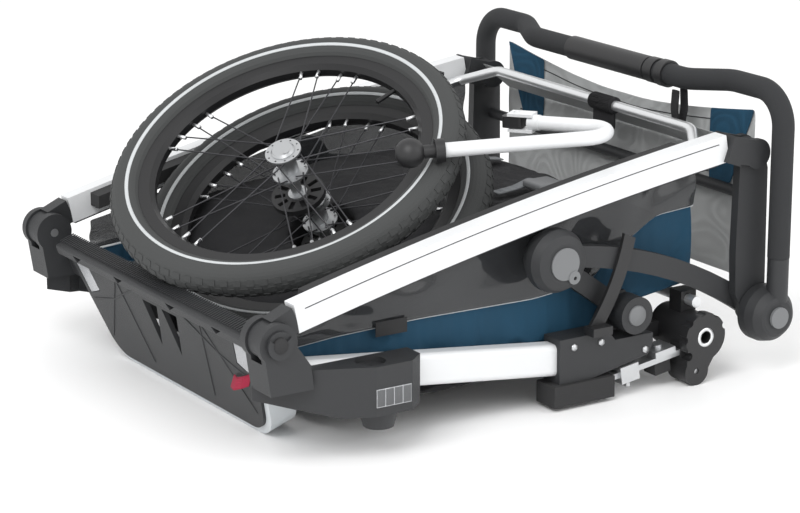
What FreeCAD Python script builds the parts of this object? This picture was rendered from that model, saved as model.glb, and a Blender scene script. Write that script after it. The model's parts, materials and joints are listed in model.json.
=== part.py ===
"""Two-seat child bicycle trailer, folded flat with both wheels stowed inside its frame.

+X points to the rear, -Y to the trailer's left side and +Z up. The origin is on the floor
under the middle of the folded trailer. All lengths are in millimetres.
"""
import FreeCAD
import Part
import math
import os

os.makedirs("parts", exist_ok=True)
V = FreeCAD.Vector

# ---------------------------------------------------------------- driving dimensions
FRONT_PIVOT = (-385.0, 172.0)      # x, z of the side frame's front pivot
TOP_PIVOT = (375.0, 316.0)         # x, z where the pillar meets the rear post
HANDLE_PIVOT = (394.0, 88.0)       # x, z of the handlebar hub
FOLD_PIVOT = (45.0, 212.0)         # x, z of the folding hub half way up the rear strut
LINK_PIVOT = (180.0, 115.0)        # x, z of the lower link's pivot on the base
PIN_RADIUS = 6.0
SIDE_GAP = 1.0                     # side clearance between plates that turn on one pin
RUNNING = 0.05                     # radial clearance of a pin in its bore
REST_GAP = 0.3                     # gap between pieces that rest on each other
CENTRING = V(-11.0, 0, 0)          # brings the origin under the middle of the whole trailer

# Front panel and bumper.
PANEL_TOP_HALF = 269.0
PANEL_BOTTOM_HALF = 208.0
PANEL_HEIGHT = 168.0               # up the slope
PANEL_LEAN = 19.5                  # degrees, the top leans forward
PANEL_THICK = 7.0
PANEL_CORNER = 46.0
LEDGE_DEPTH = 26.0
LEDGE_HEIGHT = 16.0
BUMPER_WIDTH = 40.0
BUMPER_THICK = 10.0
BUMPER_TOP = 96.0                  # where the band ends, up the slope
STRAP_LOW, STRAP_HIGH = 66.0, 90.0  # the pull strap, up the slope

# Rails, corner housings and wings.
RAIL_Y = 300.0
RAIL_WIDTH = 30.0
RAIL_HEIGHT = 44.0
RAIL_EDGE = 8.0
RAIL_FRONT = (-330.0, 112.0)       # x, z of the rail's front end
RAIL_REAR = (96.0, 63.0)           # x, z of the rail's end inside its bracket
HOUSING_WALL = 13.0
HOUSING_RADIUS = 27.0
HOUSING_LOW = 106.0
BRIDGE_LOW, BRIDGE_HIGH = 108.0, 140.0
BRIDGE_Y = 225.0                   # how far in the housing's web reaches behind the panel
KNOB_RADIUS = 18.0
KNOB_SEAT = 4.0
KNOB_PROUD = 6.0
WING_LOW, WING_HIGH = 62.0, 128.0
WING_FOOT = 40.0
WING_SIDE = 366.0                  # y of the wing's outer face
WING_SOCKET = (-250.0, 338.0)      # x, y of the round socket in the wing's top
SOCKET_RECESS = 20.0
RECESS_DEPTH = 7.0
FLAG_HOLE = 4.5
FLAG_DEPTH = 34.0
STRIP_X = (-258.0, -206.0)         # the reflector strip let into the wing's side
STRIP_Z = (74.0, 98.0)

# Side frame.
PILLAR_Y = 318.0                   # middle plane of each side frame
PILLAR_THICK = 24.0
PILLAR_HALF = 19.0                 # half of the pillar's depth in side view
PILLAR_BOW = 10.0                  # how far the pillar bows up in its middle
PILLAR_ENDS = ((-352.0, 197.0), (328.0, 328.0))
GASKET_IN = 279.0                  # y of the gasket's inner face
WINDOW = [(-318, 207), (0, 279), (250, 320), (236, 262), (120, 232), (-60, 196), (-230, 166)]
WINDOW_THICK = 3.0
CROSS_TUBE = (340.0, 336.0)        # x, z of the silver roof tube
CROSS_TUBE_RADIUS = 7.5
CROSS_TUBE_HALF = 236.0
LUG = (262.0, 304.0)               # x, z where the roof tube is riveted to the pillar
LUG_Y = 292.0

# Lower links, springs, wheel sockets and brake.
CHEEK_THICK = 14.0
BRACKET_OUT = 322.0
DRUM_RADIUS = 26.0
DRUM_OUT = 330.0
LEAF_START, LEAF_END = (104.0, 22.0), (292.0, 50.0)
LEAF_HALF = 4.0
LEAF_Y0, LEAF_Y1 = 288.0, 318.0
CLAMP_X = (160.0, 190.0)
CLAMP_HALF = 12.0
AXLE_SOCKET = (295.0, 67.0)        # x, z of the wheel sockets at the rear
SOCKET_BORE = 8.0
SOCKET_BORE_DEPTH = 70.0
SOCKET_RADIUS = 30.0
SOCKET_LENGTH = 88.0
SOCKET_FACE_Y = 336.0
TOOTH_RADIUS = 6.0
BRAKE_PIN = (281.0, 20.0)
BRAKE_PIN_RADIUS = 4.0
REAR_TUBE = (295.0, 112.0)
REAR_TUBE_RADIUS = 8.0
BEAM_X = (180.0, 210.0)
BEAM_Z = (52.0, 80.0)
PEDAL_HALF = 45.0
PEDAL_REACH = 84.0

# Rear posts, handlebar, upper bars.
POST_BACK = 400.0
HEADER = (386.0, 250.0)            # x, z of the bar between the rear posts
HEADER_RADIUS = 8.0
HANDLE_TUBE_RADIUS = 11.0
GRIP_RADIUS = 15.5
HANDLE_X = 401.0
HANDLE_HALF = 358.0                # middle of each handlebar leg
HANDLE_TOP = 400.0                 # height of the folded handlebar's cross bar
HANDLE_BEND = 48.0
LEG_LOW = 132.0
SOCKET_TOP = 170.0
MID_X, MID_Z = 371.0, 394.0        # the middle of the cross bar, bowed forward
MID_HALF, BEND_HALF = 185.0, 248.0
SLEEVES = ((-100, 85, 2.2), (-122, -104, 3.0), (-146, -130, 4.0))
WRIST_Y = (-182.0, -160.0)
WRIST_DROP = 66.0
HANDLE_HUB_RADIUS = 40.0
HUB_DEPTH = 40.0
BUTTON_RADIUS = 15.0
BUTTON_DEPTH = 14.0
BUTTON_PROUD = 4.0
FOLD_HUB_RADIUS = 43.0
FOLD_HUB_DEPTH = 33.0
BAR_HALF = 15.0
BAR_BOW = 26.0
LOCK_RADIUS = 22.0
LOCK_SEAT = 28.0                   # depth of the fold hub's floor under the lock disc
HOOK_PIVOT = (166.0, 197.0)
HOOK_TOP = (172.0, 226.0)
HOOK_END = (118.0, 106.0)
HOOK_STUD = 5.0

# Wheels.
WHEEL_RADIUS = 250.0
TYRE_WIDTH = 47.0
RIM_INNER = 186.0
RIM_OUTER = 205.0
RIM_WIDTH = 26.0
RIM_LIP = 2.5
RIM_WALL = 3.0
VALVE_RADIUS = 3.2
FLANGE_RADIUS = 25.2
FLANGE_SPREAD = 20.0               # from the wheel's middle plane to each flange
FLANGE_THICK = 3.0
BARREL_RADIUS = 13.0
TAIL_RADIUS = 8.0
SPOKES_PER_FLANGE = 10
SPOKE_HOLE_CIRCLE = 21.5
SPOKE_HOLE = 1.4
SPOKE_RADIUS = 1.0
NIPPLE_LENGTH = 11.0
NIPPLE_RADIUS = 2.2
AXLE_RADIUS = 6.0
CAP_RADIUS = 17.0
CAP_HEIGHT = 4.0
CAP_SEAT = 6.0
RATCHET_RADIUS = 38.0
RATCHET_THICK = 8.0
RATCHET_DROP = 58.0                # from the wheel's middle plane to the ratchet's top
RATCHET_POCKETS = 10
SPIGOT_LENGTH = 8.0
RELEASE_AT = (0.0, -10.0)
RELEASE_RADIUS = 4.2
RELEASE_LENGTH = 4.5
RELEASE_TRAVEL = 3.0
WHEEL_NORMAL = V(-0.439, -0.244, 0.865)
UPPER_WHEEL = V(-169.0, 5.0, 306.0)
LOWER_SHIFT = (14.0, -8.0)         # the lower wheel's offset in its own plane

# Soft goods and hitch arm.
FLOOR_LOW, FLOOR_HIGH = 44.0, 50.0
FLOOR_REAR = 112.0
SEAT_FRONT = -284.0
SEAT_HALF = 250.0
HARNESS_Y = 120.0
HARNESS_Z = 240.0
SKIRT_THICK = 4.0
BALL = V(-93, -187, 347)
BEND = V(225, -330, 364)
CLEVIS = V(126, -171, 358)
BALL_RADIUS = 20.0
NECK_RADIUS = 9.0
BOOT_RADIUS = 16.0
BOOT_FOOT = 33.0                   # from the ball's centre to the boot
ARM_FOOT = 46.0                    # from the ball's centre to the arm's end
HITCH_RADIUS = 10.0
LATCH_PIVOT = 32.0                 # from the arm's end to the latch's pin
LATCH_PIN = 4.0
EAR_GAP = 9.0
EAR_THICK = 4.0

# ---------------------------------------------------------------- worked out from them
SIDES = (("left", -1), ("right", 1))
BORE = PIN_RADIUS + RUNNING
PILLAR_IN, PILLAR_OUT = PILLAR_Y - PILLAR_THICK / 2, PILLAR_Y + PILLAR_THICK / 2
HOUSING_IN, HOUSING_OUT = PILLAR_IN - HOUSING_WALL - SIDE_GAP, PILLAR_OUT + HOUSING_WALL - SIDE_GAP
FORK_IN = PILLAR_IN - 9
LEAF_WAY = V(LEAF_END[0] - LEAF_START[0], 0, LEAF_END[1] - LEAF_START[1]).normalize()
# Layers outwards from the trailer's middle, on each side.
LINK_IN, LINK_OUT = 286.0, 300.0                       # lower link
BAR_IN, BAR_OUT = LINK_OUT + SIDE_GAP, 315.0           # upper bar
POST_IN, POST_OUT = BAR_OUT + SIDE_GAP, 330.0          # rear post at its lower eye
FORK_OUT = POST_OUT + SIDE_GAP + 8.0                   # outer fork plate of the top joint
HUB_IN = POST_OUT + SIDE_GAP                           # handlebar hub
CHEEK_IN, CHEEK_OUT = LINK_IN - SIDE_GAP - CHEEK_THICK, LINK_IN - SIDE_GAP


# ---------------------------------------------------------------- shape helpers
def box(low, high):
    size = [high[i] - low[i] for i in range(3)]
    return Part.makeBox(size[0], size[1], size[2], V(*low))


def rod(start, end, radius):
    axis = V(*end) - V(*start)
    return Part.makeCylinder(radius, axis.Length, V(*start), axis)


def across(x, z, y0, y1, radius):
    """A round bar along Y."""
    low, high = min(y0, y1), max(y0, y1)
    return Part.makeCylinder(radius, high - low, V(x, low, z), V(0, 1, 0))


def plate(outline, y0, y1):
    """A plate cut to an outline in X and Z, between two Y planes."""
    low, high = min(y0, y1), max(y0, y1)
    points = [V(x, low, z) for x, z in outline]
    face = Part.Face(Part.makePolygon(points + points[:1]))
    return face.extrude(V(0, high - low, 0))


def soften(shape, radius, along=None):
    """Round the straight edges that run along one axis, or all of them."""
    edges = []
    for edge in shape.Edges:
        step = edge.Vertexes[-1].Point - edge.Vertexes[0].Point
        if along is None or (step.Length > 1 and abs(step.normalize().dot(V(*along))) > 0.999):
            edges.append(edge)
    return shape.makeFillet(radius, edges)


def rounded_wire(points, radius):
    """Straight runs joined by tangent arcs."""
    points = [V(*p) for p in points]
    edges = []
    last = points[0]
    for before, corner, after in zip(points, points[1:], points[2:]):
        back = (before - corner).normalize()
        ahead = (after - corner).normalize()
        half_turn = (math.pi - back.getAngle(ahead)) / 2
        reach = radius * math.tan(half_turn)
        start, end = corner + back * reach, corner + ahead * reach
        middle_way = (back + ahead).normalize()
        middle = corner + middle_way * (radius / math.cos(half_turn) - radius)
        edges.append(Part.LineSegment(last, start).toShape())
        edges.append(Part.Arc(start, middle, end).toShape())
        last = end
    edges.append(Part.LineSegment(last, points[-1]).toShape())
    return Part.Wire(edges)


def tube(points, bend, radius, bore=0.0):
    """A round bar or tube along straight runs and tangent arcs."""
    path = rounded_wire(points, bend)
    start = V(*points[0])
    normal = (V(*points[1]) - start).normalize()

    def pipe(r):
        ring = Part.Wire([Part.makeCircle(r, start, normal)])
        return path.makePipeShell([ring], True, False)

    solid = pipe(radius)
    return solid.cut(pipe(bore)) if bore else solid


def turned(profile, origin=V(0, 0, 0)):
    """Spin a closed outline of (radius, height) points about +Z."""
    points = [V(r, 0, h) for r, h in profile]
    face = Part.Face(Part.makePolygon(points + points[:1]))
    return face.revolve(V(0, 0, 0), V(0, 0, 1), 360).translated(origin)


def facing_out(shape, x, z, y, side):
    """Move a shape built on +Z so that its +Z points out of one side of the trailer."""
    turn = FreeCAD.Rotation(V(1, 0, 0), -90 * side)
    moved = shape.copy()
    moved.Placement = FreeCAD.Placement(V(x, side * y, z), turn)
    return moved


def fuse(shapes):
    whole = shapes[0].fuse(shapes[1:]) if len(shapes) > 1 else shapes[0]
    return whole.removeSplitter()


def save(name, *shapes):
    solids = [solid for shape in shapes for solid in shape.Solids]
    for solid in solids:
        if not solid.isValid():
            print("NOT VALID", name)
    solids = [solid.translated(CENTRING) for solid in solids]
    result = solids[0] if len(solids) == 1 else Part.makeCompound(solids)
    result.exportStep("parts/" + name + ".step")
    print(name, len(solids), "solids,", round(sum(s.Volume for s in solids) / 1000, 1), "cm3")


def bar_outline(start, end, half_height, rise=0.0, steps=1):
    """The outline of a bar between two points in X and Z, bowed up by rise in its middle."""
    (x0, z0), (x1, z1) = start, end
    length = math.hypot(x1 - x0, z1 - z0)
    ux, uz = (x1 - x0) / length, (z1 - z0) / length
    top, bottom = [], []
    for i in range(steps + 1):
        t = i / steps
        lift = rise * 4 * t * (1 - t)
        x, z = x0 + (x1 - x0) * t, z0 + (z1 - z0) * t
        top.append((x - uz * (lift + half_height), z + ux * (lift + half_height)))
        bottom.append((x - uz * (lift - half_height), z + ux * (lift - half_height)))
    return top + bottom[::-1]


def span(side, y0, y1):
    """Two distances from the middle as low and high Y on one side."""
    return sorted((side * y0, side * y1))


# ---------------------------------------------------------------- front panel and bumper
def lean(shape):
    """Tip a shape built upright at x = 0 to the front panel's slope."""
    moved = shape.copy()
    slope = math.radians(PANEL_LEAN)
    foot_z = BUMPER_THICK * math.cos(slope) - (PANEL_THICK - 3) * math.sin(slope)
    foot = V(FRONT_PIVOT[0] + math.sin(slope) * PANEL_HEIGHT, 0, foot_z)
    moved.Placement = FreeCAD.Placement(foot, FreeCAD.Rotation(V(0, 1, 0), -PANEL_LEAN))
    return moved


def panel_outline(grow, x):
    """The panel's outline in Y and Z as a wire with round lower corners, grown outwards."""
    top, bottom = PANEL_TOP_HALF + grow, PANEL_BOTTOM_HALF + grow
    points = [(x, -top, PANEL_HEIGHT), (x, -bottom, -grow), (x, bottom, -grow), (x, top, PANEL_HEIGHT)]
    return rounded_wire(points, PANEL_CORNER + grow)


def closed_face(wire):
    ends = [wire.Vertexes[0].Point, wire.Vertexes[-1].Point]
    return Part.Face(Part.Wire(wire.Edges + [Part.LineSegment(ends[1], ends[0]).toShape()]))


def triangle_cut(points, depth, x):
    corners = [V(x, y, z) for y, z in points]
    return Part.Face(Part.makePolygon(corners + corners[:1])).extrude(V(depth, 0, 0))


def reflector_outline(side, inset=0.0):
    """The slanted window beside each end of the panel, in Y and Z."""
    inner_top, inner_low = 206 + inset, 196 + inset
    outer_top, outer_low = 246 - inset, 232 - inset
    return [(side * inner_top, 138 - inset), (side * outer_top, 138 - inset),
            (side * outer_low, 92 + inset), (side * inner_low, 104 + inset)]


def make_front_panel():
    skin = closed_face(panel_outline(0, 0)).extrude(V(PANEL_THICK, 0, 0))
    ledge = box((-LEDGE_DEPTH / 2, -PANEL_TOP_HALF + 4, PANEL_HEIGHT - LEDGE_HEIGHT),
                (PANEL_THICK + LEDGE_DEPTH / 2, PANEL_TOP_HALF - 4, PANEL_HEIGHT))
    ledge = soften(ledge, 4, (0, 1, 0))
    panel = skin.fuse(ledge)
    for y in (-200, -75, 75, 200):
        notch = [(y - 13, PANEL_HEIGHT - 4), (y + 13, PANEL_HEIGHT - 4), (y + 5, PANEL_HEIGHT - 13)]
        panel = panel.cut(triangle_cut(notch, 10, -LEDGE_DEPTH / 2 - 1))
    for y in (-28, 28):
        vent = [(y - 22, 132), (y + 20, 132), (y + 8, 62)]
        panel = panel.cut(triangle_cut(vent, PANEL_THICK + 2, -1))
    for _, side in SIDES:
        panel = panel.cut(triangle_cut(reflector_outline(side), 4, -1))
    return lean(panel)


def front_reflector(side):
    return lean(triangle_cut(reflector_outline(side, 1), 2.5, 0.5))


save("front_panel", make_front_panel())


def make_bumper():
    outer = closed_face(panel_outline(BUMPER_THICK, PANEL_THICK - 3)).extrude(V(BUMPER_WIDTH, 0, 0))
    inner = closed_face(panel_outline(REST_GAP, PANEL_THICK - 4)).extrude(V(BUMPER_WIDTH + 2, 0, 0))
    above = box((-20, -400, BUMPER_TOP), (BUMPER_WIDTH + 40, 400, 400))
    return lean(outer.cut(inner).cut(above))


save("bumper_band", make_bumper())


# ---------------------------------------------------------------- base frame
RAIL_WAY = V(RAIL_REAR[0] - RAIL_FRONT[0], 0, RAIL_REAR[1] - RAIL_FRONT[1]).normalize()


def rail(side, grow=0.0):
    outline = bar_outline(RAIL_FRONT, RAIL_REAR, RAIL_HEIGHT / 2 + grow)
    inner, outer = RAIL_Y - RAIL_WIDTH / 2 - grow, RAIL_Y + RAIL_WIDTH / 2 + grow
    return soften(plate(outline, side * inner, side * outer), RAIL_EDGE, RAIL_WAY)


def corner_housing(side, grow=0.0):
    """The moulded corner that carries the side frame's front pivot."""
    x, z = FRONT_PIVOT
    low = HOUSING_LOW - grow
    block = [(x - 22 - grow, z), (x - 12 - grow, low), (x + 50 + grow, low), (x + 46 + grow, z - 34),
             (x + 22, z)]
    y0, y1 = side * (HOUSING_IN - grow), side * (HOUSING_OUT + grow)
    body = plate(block, y0, y1).fuse(across(x, z, y0, y1, HOUSING_RADIUS + grow))
    if grow:
        return body
    slot = across(x, z, side * (PILLAR_IN - SIDE_GAP), side * (PILLAR_OUT + SIDE_GAP), HOUSING_RADIUS + 4)
    slot = slot.fuse(plate([(x, z - 31), (x + 60, z - 31), (x + 60, z + 40), (x, z + 40)],
                           side * (PILLAR_IN - SIDE_GAP), side * (PILLAR_OUT + SIDE_GAP)))
    body = body.cut(slot).cut(across(x, z, side * 200, side * 400, BORE))
    recess = across(x, z, side * (HOUSING_OUT - KNOB_SEAT), side * 400, KNOB_RADIUS + RUNNING)
    y0, y1 = span(side, BRIDGE_Y, HOUSING_IN + 4)
    bridge = box((x, y0, BRIDGE_LOW), (x + 48, y1, BRIDGE_HIGH))
    bridge = bridge.cut(lean(box((-100, -400, -50), (PANEL_THICK + REST_GAP, 400, 400))))
    body = body.cut(recess).cut(lean_block()).fuse(bridge).cut(rail(side, REST_GAP))
    return body.removeSplitter()


def lean_block():
    """The space of the front panel, its ledge and the bumper, which the corner keeps clear of."""
    outline = panel_outline(BUMPER_THICK + REST_GAP, -LEDGE_DEPTH)
    return lean(closed_face(outline).extrude(V(LEDGE_DEPTH + BUMPER_WIDTH + 4.5, 0, 0)))


def wing(side):
    inner = RAIL_Y + RAIL_WIDTH / 2 + REST_GAP
    plan = [(-398, 296), (-330, 334), (-258, WING_SIDE), (-204, WING_SIDE), (-180, WING_SIDE - 20),
            (-180, inner), (-338, inner), (-362, 296)]
    points = [V(x, side * y, WING_LOW) for x, y in plan]
    body = Part.Face(Part.makePolygon(points + points[:1])).extrude(V(0, 0, WING_HIGH - WING_LOW))
    taper = plate([(-420, 70), (-300, 40), (-300, WING_LOW), (-420, 96)], side * 250, side * 400)
    sx, sy = WING_SOCKET
    foot = Part.makeCone(26, 20, WING_LOW - WING_FOOT, V(sx + 12, side * sy, WING_LOW), V(0, 0, -1))
    recess = Part.makeCylinder(SOCKET_RECESS, 20, V(sx, side * sy, WING_HIGH - RECESS_DEPTH))
    hole = Part.makeCylinder(FLAG_HOLE, FLAG_DEPTH, V(sx, side * sy, WING_HIGH - RECESS_DEPTH - FLAG_DEPTH))
    body = body.fuse(foot).cut(taper).cut(recess).cut(hole)
    body = body.cut(corner_housing(side, REST_GAP)).cut(lean_block()).cut(wing_reflector(side, 0.2))
    return max(body.Solids, key=lambda solid: solid.Volume)


def wing_reflector(side, grow=0.0):
    y0, y1 = span(side, WING_SIDE - 2.5, WING_SIDE + 0.5)
    return box((STRIP_X[0] - grow, y0, STRIP_Z[0] - grow), (STRIP_X[1] + grow, y1, STRIP_Z[1] + grow))


def front_knob(side):
    x, z = FRONT_PIVOT
    seat = HOUSING_OUT - KNOB_SEAT + REST_GAP
    disc = across(x, z, side * seat, side * (HOUSING_OUT + KNOB_PROUD), KNOB_RADIUS)
    step_in, step_out = side * (HOUSING_OUT + 3), side * (HOUSING_OUT + KNOB_PROUD + 1)
    step = across(x, z + KNOB_RADIUS + 2, step_in, step_out, KNOB_RADIUS)
    return disc.cut(step)


save("side_rails", *[rail(side) for _, side in SIDES])
save("corner_housings", *[corner_housing(side) for _, side in SIDES])
save("wings", *[wing(side) for _, side in SIDES])
save("reflectors", *[make(side) for make in (front_reflector, wing_reflector) for _, side in SIDES])
for name, side in SIDES:
    save(name + "_front_knob", front_knob(side))

strap_end, strap_root = -PANEL_BOTTOM_HALF - 62, -PANEL_BOTTOM_HALF - 14
save("pull_strap", lean(box((-REST_GAP - 3, strap_end, STRAP_LOW), (-REST_GAP, strap_root, STRAP_HIGH))))

# ---------------------------------------------------------------- lower links, brackets and springs


def leaf_point(x, offset):
    """A point beside the leaf spring's middle line, offset at right angles to it."""
    t = (x - LEAF_START[0]) / (LEAF_END[0] - LEAF_START[0])
    z = LEAF_START[1] + t * (LEAF_END[1] - LEAF_START[1])
    return x - LEAF_WAY.z * offset, z + LEAF_WAY.x * offset


def on_leaf(x0, x1, low, high, side, y0=LEAF_Y0, y1=LEAF_Y1):
    outline = [leaf_point(x0, low), leaf_point(x1, low), leaf_point(x1, high), leaf_point(x0, high)]
    return plate(outline, side * y0, side * y1)


def bracket(side):
    x, z = LINK_PIVOT
    under_drum = z - DRUM_RADIUS - 5
    shell = [(58, 98), (58, 36), (112, 36), (206, 54), (214, 68), (214, under_drum), (150, under_drum),
             (138, 98)]
    cheek = [(118, 38), (206, 54), (214, 68), (x + 26, z + 8), (x + 12, z + 24), (x - 12, z + 24),
             (x - 28, z + 2)]
    body = plate(shell, side * CHEEK_OUT, side * BRACKET_OUT)
    body = body.fuse(plate(cheek, side * CHEEK_IN, side * CHEEK_OUT))
    body = body.cut(rail(side, 0.1)).cut(across(x, z, side * 200, side * 400, BORE))
    return body.removeSplitter()


def link(side):
    x, z = LINK_PIVOT
    bar = plate(bar_outline(LINK_PIVOT, FOLD_PIVOT, 14), side * LINK_IN, side * LINK_OUT)
    ends = [across(*p, side * LINK_IN, side * LINK_OUT, 19) for p in (LINK_PIVOT, FOLD_PIVOT)]
    drum = across(x, z, side * LINK_OUT, side * DRUM_OUT, DRUM_RADIUS)
    return fuse([bar, *ends, drum]).cut(across(x, z, side * 200, side * 400, BORE))


def leaf_parts(side):
    drum = across(*AXLE_SOCKET, side * 200, side * 400, SOCKET_RADIUS + 0.1)
    leaf = on_leaf(LEAF_START[0], LEAF_END[0], -LEAF_HALF, LEAF_HALF, side).cut(axle_socket(side)).cut(drum)
    leaf = max(leaf.Solids, key=lambda solid: solid.Volume)
    seat = on_leaf(222, 256, LEAF_HALF, LEAF_HALF + 9, side, LEAF_Y0 - 3, LEAF_Y1 + 3)
    bx, bz = leaf_point(238, LEAF_HALF + 9)
    head = Part.makeCylinder(7, 4, V(bx, side * (LEAF_Y0 + LEAF_Y1) / 2, bz), V(-LEAF_WAY.z, 0, LEAF_WAY.x))
    return [leaf, seat, head]


def clamp(side):
    ring = on_leaf(*CLAMP_X, -CLAMP_HALF, CLAMP_HALF, side, LEAF_Y0 - 6, LEAF_Y1 + 6)
    gap = LEAF_HALF + REST_GAP
    hole = on_leaf(LEAF_START[0], LEAF_END[0], -gap, gap, side, LEAF_Y0 - REST_GAP, LEAF_Y1 + REST_GAP)
    bx, bz = leaf_point(sum(CLAMP_X) / 2, -CLAMP_HALF)
    by = side * (LEAF_Y0 + LEAF_Y1) / 2
    stem = Part.makeCylinder(4, 4, V(bx, by, bz), V(LEAF_WAY.z, 0, -LEAF_WAY.x))
    wings = box((bx - 2.4, by - 14, bz - 8.9), (bx + 3.6, by + 14, bz - 3.9))
    return fuse([ring.cut(hole), stem, wings])


def axle_socket(side):
    """The wheel's socket: a drum with a toothed outer plate and a lobe that stands on the floor."""
    x, z = AXLE_SOCKET
    px, pz = BRAKE_PIN
    y_in, y_out = side * (SOCKET_FACE_Y - SOCKET_LENGTH), side * SOCKET_FACE_Y
    face_in, lobe_in = side * (SOCKET_FACE_Y - 16), side * (SOCKET_FACE_Y - 40)
    drum = across(x, z, y_in, y_out, SOCKET_RADIUS)
    crown = across(x, z, face_in, y_out, SOCKET_RADIUS + 4)
    lobe = across(px, pz, lobe_in, y_out, pz)
    web = [(x - 30, z - 12), (px - pz + 2, pz), (px + pz - 2, pz), (x + 22, z - 20), (x + 10, z + 10),
           (x - 20, z + 10)]
    body = fuse([drum, crown, lobe, plate(web, lobe_in, y_out)])
    for k in range(6):
        angle = math.radians(20 + 40 * k)
        ring = SOCKET_RADIUS + TOOTH_RADIUS + 1
        tx, tz = x + ring * math.cos(angle), z + ring * math.sin(angle)
        body = body.cut(across(tx, tz, face_in, y_out + side, TOOTH_RADIUS))
    body = body.cut(across(x, z, side * (SOCKET_FACE_Y - SOCKET_BORE_DEPTH), side * 400, SOCKET_BORE))
    return body.cut(across(px, pz, side * 200, side * 400, BRAKE_PIN_RADIUS + RUNNING))


def foot_block(side):
    y0, y1 = span(side, LEAF_Y0 - 2, BRACKET_OUT + 6)
    block = box((46, y0, 6), (146, y1, 36 - REST_GAP))
    return block.cut(on_leaf(LEAF_START[0] - 4, LEAF_END[0], -LEAF_HALF, LEAF_HALF, side))


def spring_stop(side):
    return on_leaf(222, 248, -LEAF_HALF - 18, -LEAF_HALF, side, LEAF_Y0 + 2, LEAF_Y1 - 2)


save("rail_brackets", *[bracket(side) for _, side in SIDES])
save("lower_links", *[link(side) for _, side in SIDES])
save("rubber_blocks", *[make(side) for make in (foot_block, spring_stop) for _, side in SIDES])
save("leaf_springs", *[piece for _, side in SIDES for piece in leaf_parts(side)])
save("spring_clamps", *[clamp(side) for _, side in SIDES])
save("axle_sockets", *[axle_socket(side) for _, side in SIDES])
for name, side in SIDES:
    brake_pin = across(*BRAKE_PIN, side * (SOCKET_FACE_Y - 44), side * (SOCKET_FACE_Y - 3), BRAKE_PIN_RADIUS)
    save(name + "_brake_pin", brake_pin)

link_pins = [across(*LINK_PIVOT, side * CHEEK_IN, side * DRUM_OUT, PIN_RADIUS) for _, side in SIDES]
pin_end = HOUSING_OUT - KNOB_SEAT
front_pins = [across(*FRONT_PIVOT, side * HOUSING_IN, side * pin_end, PIN_RADIUS) for _, side in SIDES]
save("base_pins", *link_pins, *front_pins)

TUBE_X, TUBE_Z = REAR_TUBE
tube_half = SOCKET_FACE_Y - 22
rear_tube = across(TUBE_X, TUBE_Z, -tube_half, tube_half, REAR_TUBE_RADIUS)
drums = across(*AXLE_SOCKET, -400, 400, SOCKET_RADIUS + 0.1)


def saddle(side):
    """The block that carries the rear tube on top of the wheel socket."""
    y0, y1 = span(side, 270, 296)
    block = box((TUBE_X - 13, y0, AXLE_SOCKET[1]), (TUBE_X + 13, y1, TUBE_Z + 12))
    return max(block.cut(drums).cut(rear_tube).Solids, key=lambda solid: solid.Volume)


def beam_arm(side):
    y0, y1 = span(side, SOCKET_FACE_Y - SOCKET_LENGTH + 2, SOCKET_FACE_Y - SOCKET_LENGTH + 20)
    return box((BEAM_X[1], y0, BEAM_Z[0] + 4), (AXLE_SOCKET[0], y1, BEAM_Z[1] - 2))


save("rear_tube", rear_tube)
beam = box((BEAM_X[0], -CHEEK_IN, BEAM_Z[0]), (BEAM_X[1], CHEEK_IN, BEAM_Z[1]))
rear_beam = fuse([beam] + [beam_arm(side) for _, side in SIDES]).cut(drums)
save("rear_beam", rear_beam, *[saddle(side) for _, side in SIDES])

pedal_ring = across(TUBE_X, TUBE_Z, -PEDAL_HALF, PEDAL_HALF, REAR_TUBE_RADIUS + 6)
pedal_side = [(0, 13), (0, -2), (52, 2), (PEDAL_REACH, 2), (PEDAL_REACH, 12), (52, 12)]
pedal_arm = plate([(TUBE_X + x, TUBE_Z + z) for x, z in pedal_side], 15 - PEDAL_HALF, PEDAL_HALF - 15)
pedal = fuse([pedal_ring, pedal_arm])
save("brake_pedal", pedal.cut(across(TUBE_X, TUBE_Z, -400, 400, REAR_TUBE_RADIUS + RUNNING)))

# ---------------------------------------------------------------- side frame


def pillar_shape(low, high, y0, y1):
    """A slice along the pillar, between two heights beside its middle line."""
    middle = bar_outline(*PILLAR_ENDS, 0.0, PILLAR_BOW, 16)[:17]
    (x0, z0), (x1, z1) = PILLAR_ENDS
    length = math.hypot(x1 - x0, z1 - z0)
    nx, nz = -(z1 - z0) / length, (x1 - x0) / length
    top = [(x + nx * high, z + nz * high) for x, z in middle]
    bottom = [(x + nx * low, z + nz * low) for x, z in middle]
    return plate(top + bottom[::-1], y0, y1)


def pillar(side):
    return pillar_shape(-PILLAR_HALF, PILLAR_HALF, side * PILLAR_IN, side * PILLAR_OUT)


def front_joint(side):
    x, z = FRONT_PIVOT
    arm = plate(bar_outline((x + 4, z + 12), PILLAR_ENDS[0], 17), side * PILLAR_IN, side * PILLAR_OUT)
    whole = fuse([across(x, z, side * PILLAR_IN, side * PILLAR_OUT, 24), arm])
    return whole.cut(pillar(side)).cut(across(x, z, side * 200, side * 400, BORE))


def top_joint(side):
    x, z = TOP_PIVOT
    web = plate(bar_outline(PILLAR_ENDS[1], (x - 25, z + 4), PILLAR_HALF), side * FORK_IN, side * FORK_OUT)
    cheek_in = across(x, z, side * FORK_IN, side * PILLAR_IN, 21)
    cheek_out = across(x, z, side * POST_OUT + side * SIDE_GAP, side * FORK_OUT, 21)
    arm = bar_outline(PILLAR_ENDS[1], TOP_PIVOT, 18)
    arm_in = plate(arm, side * FORK_IN, side * PILLAR_IN)
    arm_out = plate(arm, side * (POST_OUT + SIDE_GAP), side * FORK_OUT)
    pin = across(x, z, side * FORK_IN, side * FORK_OUT, PIN_RADIUS)
    return fuse([web, cheek_in, cheek_out, arm_in, arm_out, pin]).cut(pillar(side))


save("pillars", *[pillar(side) for _, side in SIDES])
save("pillar_joints", *[joint(side) for joint in (front_joint, top_joint) for _, side in SIDES])


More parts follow.
